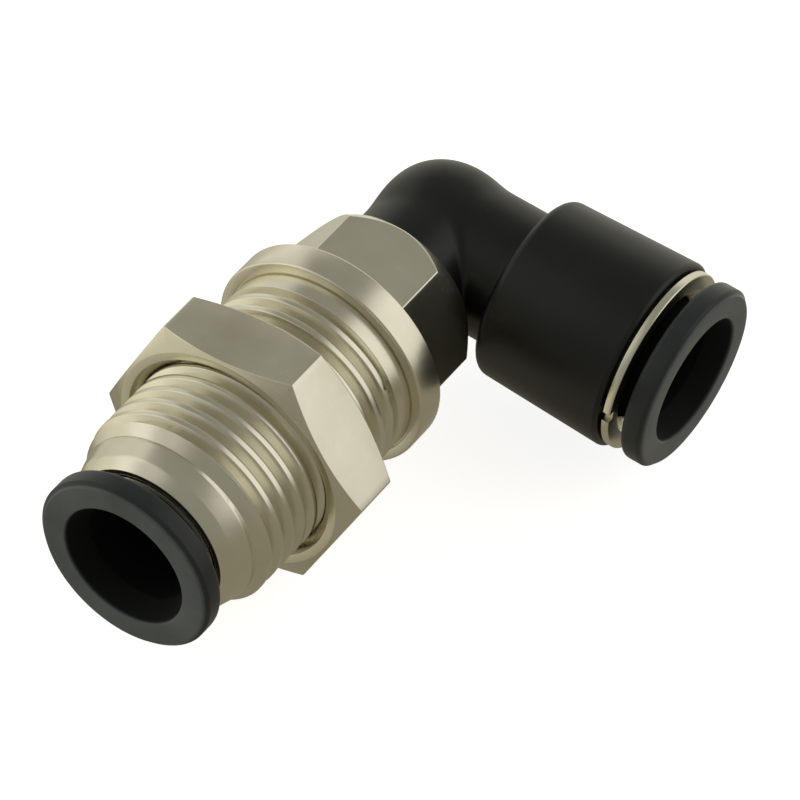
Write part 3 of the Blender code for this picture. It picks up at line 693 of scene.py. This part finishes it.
def nickel(name, axis="Y", ring_depth=TURNED_RING_DEPTH):
    """Warm nickel plate: faint tarnish, smeary gloss, lathe rings and tiny pits."""
    nodes = Nodes(bpy.data.materials.new(name))
    where = nodes.place()
    tarnish = nodes.noise(where, TARNISH_SCALE)
    nodes.feed(nodes.shader.inputs["Base Color"], nodes.ramp(tarnish, NICKEL_COLOURS))
    nodes.shader.inputs["Metallic"].default_value = 1.0
    rings = turning_marks(nodes, where, axis)
    smears = nodes.noise(where, SMEAR_SCALE, detail=5.0, roughness=0.65)
    from_rings = nodes.math("MULTIPLY", rings, NICKEL_ROUGH_FROM_RINGS)
    from_smears = nodes.math("MULTIPLY", smears, NICKEL_ROUGH_FROM_SMEARS)
    rough = nodes.math("ADD", nodes.math("ADD", from_rings, from_smears), NICKEL_ROUGH)
    nodes.feed(nodes.shader.inputs["Roughness"], rough)
    pits = nodes.noise(where, PIT_SCALE, detail=2.0, roughness=0.5)
    height = nodes.math("ADD", nodes.math("MULTIPLY", rings, ring_depth),
                        nodes.math("MULTIPLY", pits, PIT_DEPTH))
    nodes.bump(height, *NICKEL_BUMP)
    return nodes.owner


def sleeve_painted_shade_and_highlight(nodes, where, bore_axis, colour, rough):
    """A release sleeve's painted light: inside the mouth the colour is darkened as painted shade of the deep
    bore, and the roughness is raised there; on its flat face the colour is brightened as a painted
    highlight."""
    along, outward = axis_distances(nodes, where, bore_axis)
    outside = nodes.smooth_step(outward, *BORE_EDGE)
    face = {"Y": FACE_A, "X": FACE_B}[bore_axis]
    depth = nodes.math("ABSOLUTE", nodes.math("SUBTRACT", along, face))
    away = nodes.smooth_step(depth, *FACE_EDGE)
    # Painted shade darkens the colour inside the bore, and a painted highlight brightens it on the flat face
    painted_light_scale = nodes.math("MULTIPLY", nodes.spread(outside, BORE_SHADE, 1.0),
                       nodes.spread(away, FACE_PAINTED_HIGHLIGHT, 1.0))
    duller = nodes.spread(outside, BORE_EXTRA_ROUGHNESS, 0.0)
    return nodes.scaled(colour, painted_light_scale), nodes.math("ADD", rough, duller)


def plastic(name, dark, light, roughness, grain, bump_strength, specular=0.5, bore_axis=None):
    """Moulded plastic: slight mottling, uneven gloss and a fine moulded grain with shallow flow waves.
    A release sleeve also has a bore_axis, and gets painted shade in its bore and a painted highlight on its
    flat face."""
    nodes = Nodes(bpy.data.materials.new(name))
    where = nodes.place()
    mottle = nodes.noise(where, MOTTLE_SCALE)
    colour = nodes.ramp(mottle, [(0.3, dark), (0.7, light)])
    rough = nodes.spread(nodes.noise(where, GLOSS_SCALE), *roughness)
    if bore_axis:
        # painted shade in the bore and a painted highlight on the flat face
        colour, rough = sleeve_painted_shade_and_highlight(nodes, where, bore_axis, colour, rough)
    nodes.feed(nodes.shader.inputs["Base Color"], colour)
    nodes.shader.inputs["Specular IOR Level"].default_value = specular
    nodes.feed(nodes.shader.inputs["Roughness"], rough)
    fine = nodes.noise(where, grain, detail=2.0, roughness=0.5)
    waves = nodes.noise(where, WAVE_SCALE, detail=2.0, roughness=0.4)
    height = nodes.math("ADD", nodes.math("MULTIPLY", fine, GRAIN_DEPTH), waves)
    nodes.bump(height, bump_strength, PLASTIC_BUMP_DISTANCE)
    return nodes.owner


def steel(name):
    """Bright spring strip with a fine grain."""
    nodes = Nodes(bpy.data.materials.new(name))
    grain = nodes.noise(nodes.place(), STEEL_GRAIN_SCALE, detail=3.0)
    nodes.feed(nodes.shader.inputs["Base Color"], nodes.ramp(grain, STEEL_COLOURS))
    nodes.shader.inputs["Metallic"].default_value = 1.0
    nodes.feed(nodes.shader.inputs["Roughness"], nodes.spread(grain, *STEEL_ROUGH))
    nodes.bump(grain, *STEEL_BUMP)
    return nodes.owner


ELBOW_FINISH = {
    "dark": (0.0060, 0.0068, 0.0066),
    "light": (0.0100, 0.0110, 0.0106),
    "roughness": (0.30, 0.42),
    "grain": 5200.0,
    "bump_strength": 0.10,
    "specular": 0.38,
}
SLEEVE_FINISH = {
    "dark": (0.030, 0.034, 0.037),
    "light": (0.046, 0.051, 0.055),
    "roughness": (0.26, 0.38),
    "grain": 6500.0,
    "bump_strength": 0.14,
    "specular": 0.2,
}
SEAL_FINISH = {
    "dark": (0.010, 0.010, 0.010),
    "light": (0.018, 0.018, 0.018),
    "roughness": (0.55, 0.75),
    "grain": 4000.0,
    "bump_strength": 0.2,
}
ACETAL_FINISH = {
    "dark": (0.60, 0.59, 0.55),
    "light": (0.70, 0.69, 0.65),
    "roughness": (0.38, 0.5),
    "grain": 5000.0,
    "bump_strength": 0.08,
}
MATERIALS = {
    "nickel_turned": nickel("nickel_turned"),
    "nickel_milled": nickel("nickel_milled", ring_depth=MILLED_RING_DEPTH),
    "nickel_collar": nickel("nickel_collar", axis="X"),
    "elbow_black": plastic("elbow_black", **ELBOW_FINISH),
    "sleeve_a_black": plastic("sleeve_a_black", bore_axis="Y", **SLEEVE_FINISH),
    "sleeve_b_black": plastic("sleeve_b_black", bore_axis="X", **SLEEVE_FINISH),
    "seal_black": plastic("seal_black", **SEAL_FINISH),
    "acetal_white": plastic("acetal_white", **ACETAL_FINISH),
    "claw_steel": steel("claw_steel"),
}


def show(piece, body, nodes, material):
    """Gives a piece its finish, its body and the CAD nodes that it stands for."""
    piece.data.materials.append(MATERIALS[material])
    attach(piece, body)
    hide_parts(*nodes)


show(make_bulkhead_body(), "bulkhead", ["bulkhead_body"], "nickel_turned")
show(make_lock_nut(), "nut", ["lock_nut"], "nickel_milled")
show(make_elbow(), "elbow", ["elbow_body"], "elbow_black")
show(make_sleeve("release_sleeve_a_moulded", on_port_a), "sleeve_a", ["release_sleeve_a"],
     "sleeve_a_black")
show(make_sleeve("release_sleeve_b_moulded", on_port_b), "sleeve_b", ["release_sleeve_b"],
     "sleeve_b_black")
show(make_guide_b(), "elbow", ["guide_ring_b"], "nickel_collar")
show(make_inner_ring("guide_ring_a_turned", GUIDE_A, on_port_a), "bulkhead", ["guide_ring_a"],
     "nickel_turned")
for side, place, body in (("a", on_port_a, "bulkhead"), ("b", on_port_b, "elbow")):
    show(make_inner_ring("claw_seat_" + side + "_turned", SEAT, place), body, ["claw_seat_" + side],
         "acetal_white")
    show(make_inner_ring("tube_seal_" + side + "_moulded", SEAL, place), body, ["tube_seal_" + side],
         "seal_black")
    show(make_inner_ring("seal_backup_" + side + "_turned", BACKUP, place), body, ["seal_backup_" + side],
         "acetal_white")

show(make_o_ring(), "bulkhead", ["swivel_o_ring"], "seal_black")

for name in ("claw_ring_a", "claw_ring_b", "swivel_snap_ring"):
    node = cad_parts[name]
    for slot in node.material_slots:
        slot.link = "OBJECT"
        slot.material = MATERIALS["claw_steel"]


# ---------------------------------------------------------------- floor, light and camera
FLOOR_HALF_SIZE = 1.5
FLOOR_GAP = 0.2 * MM
FLOOR_WHITE = (0.9, 0.9, 0.9, 1.0)
FLOOR_ROUGHNESS = 0.9
FLOOR_GLOW = 0.78
WHITE = (1.0, 1.0, 1.0, 1.0)


def make_floor():
    """A white floor that glows faintly, so that it is as pale as the backdrop. Nothing mirrors it."""
    shape = bmesh.new()
    bmesh.ops.create_grid(shape, x_segments=1, y_segments=1, size=FLOOR_HALF_SIZE)
    mesh = bpy.data.meshes.new("floor")
    shape.to_mesh(mesh)
    shape.free()
    floor = bpy.data.objects.new("floor", mesh)
    floor.location = (0.0, 0.0, cad_box[0].z - FLOOR_GAP)
    bpy.context.scene.collection.objects.link(floor)
    nodes = Nodes(bpy.data.materials.new("floor_white"))
    nodes.shader.inputs["Base Color"].default_value = FLOOR_WHITE
    nodes.shader.inputs["Roughness"].default_value = FLOOR_ROUGHNESS
    nodes.shader.inputs["Specular IOR Level"].default_value = 0.0
    nodes.shader.inputs["Emission Color"].default_value = WHITE
    nodes.shader.inputs["Emission Strength"].default_value = FLOOR_GLOW
    mesh.materials.append(nodes.owner)
    floor.visible_glossy = False
    floor.visible_diffuse = False


# Soft light boxes: the direction they lie in, the angles in degrees where they are full and where
# they end, and their light
LIGHT_BOXES = [
    ((0.645, 0.575, 0.504), 20.0, 38.0, (0.67, 0.66, 0.63)),
    ((-0.99, 0.0, 0.1), 36.0, 47.0, (0.38, 0.38, 0.35)),
    ((-0.67, -0.67, -0.3), 15.0, 45.0, (0.35, 0.34, 0.28)),
    ((-0.65, -0.45, 0.61), 14.0, 38.0, (0.30, 0.30, 0.29)),
    ((-0.25, 0.95, -0.15), 25.0, 50.0, (0.50, 0.50, 0.45)),
]
DIM_BELOW = (0.27, 0.25, 0.19)
DIM_ABOVE = (0.29, 0.285, 0.25)
HORIZON_BLEND = 0.2


def make_studio():
    """A dim room with soft light boxes all round the object, and a white backdrop for the camera."""
    world = bpy.data.worlds.new("studio")
    bpy.context.scene.world = world
    nodes = Nodes(world)
    toward = nodes.node("TexCoord").outputs["Generated"]
    height = nodes.node("SeparateXYZ", Vector=toward).outputs["Z"]
    room = nodes.node("Mix", {"data_type": "RGBA"})
    nodes.feed(room.inputs["Factor"], nodes.smooth_step(height, -HORIZON_BLEND, HORIZON_BLEND))
    below, above, mixed = room.inputs[6], room.inputs[7], room.outputs[2]
    nodes.feed(below, (*DIM_BELOW, 1.0))
    nodes.feed(above, (*DIM_ABOVE, 1.0))
    light = mixed
    for direction, full, end, colour in LIGHT_BOXES:
        closeness = nodes.vector_math("DOT_PRODUCT", toward, Vector(direction).normalized())["Value"]
        amount = nodes.smooth_step(closeness, math.cos(math.radians(end)), math.cos(math.radians(full)))
        light = nodes.vector_math("ADD", light, nodes.scaled(colour, amount))["Vector"]
    lit = nodes.tree.nodes["Background"]
    nodes.feed(lit.inputs["Color"], light)
    backdrop = nodes.node("Background", Color=WHITE, Strength=1.0)
    chosen = nodes.node("MixShader", Fac=nodes.node("LightPath").outputs["Is Camera Ray"])
    nodes.feed(chosen.inputs[1], lit.outputs[0])
    nodes.feed(chosen.inputs[2], backdrop.outputs[0])
    nodes.feed(nodes.tree.nodes["World Output"].inputs["Surface"], chosen.outputs[0])


CAMERA_AZIMUTH = math.radians(28.7927)
CAMERA_ELEVATION = math.radians(48.9678)
CAMERA_ROLL = math.radians(7.4953)
CAMERA_PLACE = (0.17705, -0.30637, 0.40295)
LENS_MM = 267.0
SENSOR_MM = 36.0
NEAREST_SEEN = 0.01
FARTHEST_SEEN = 10.0


def make_camera():
    lens = bpy.data.cameras.new("camera")
    lens.lens = LENS_MM
    lens.sensor_width = SENSOR_MM
    lens.clip_start = NEAREST_SEEN
    lens.clip_end = FARTHEST_SEEN
    camera = bpy.data.objects.new("camera", lens)
    bpy.context.scene.collection.objects.link(camera)
    tilt = math.pi / 2.0 - CAMERA_ELEVATION
    turned = Matrix.Rotation(CAMERA_AZIMUTH, 4, "Z") @ Matrix.Rotation(tilt, 4, "X")
    camera.matrix_world = Matrix.Translation(CAMERA_PLACE) @ turned @ Matrix.Rotation(CAMERA_ROLL, 4, "Z")
    bpy.context.scene.camera = camera


make_floor()
make_studio()
make_camera()
bpy.context.scene.view_settings.view_transform = "Standard"
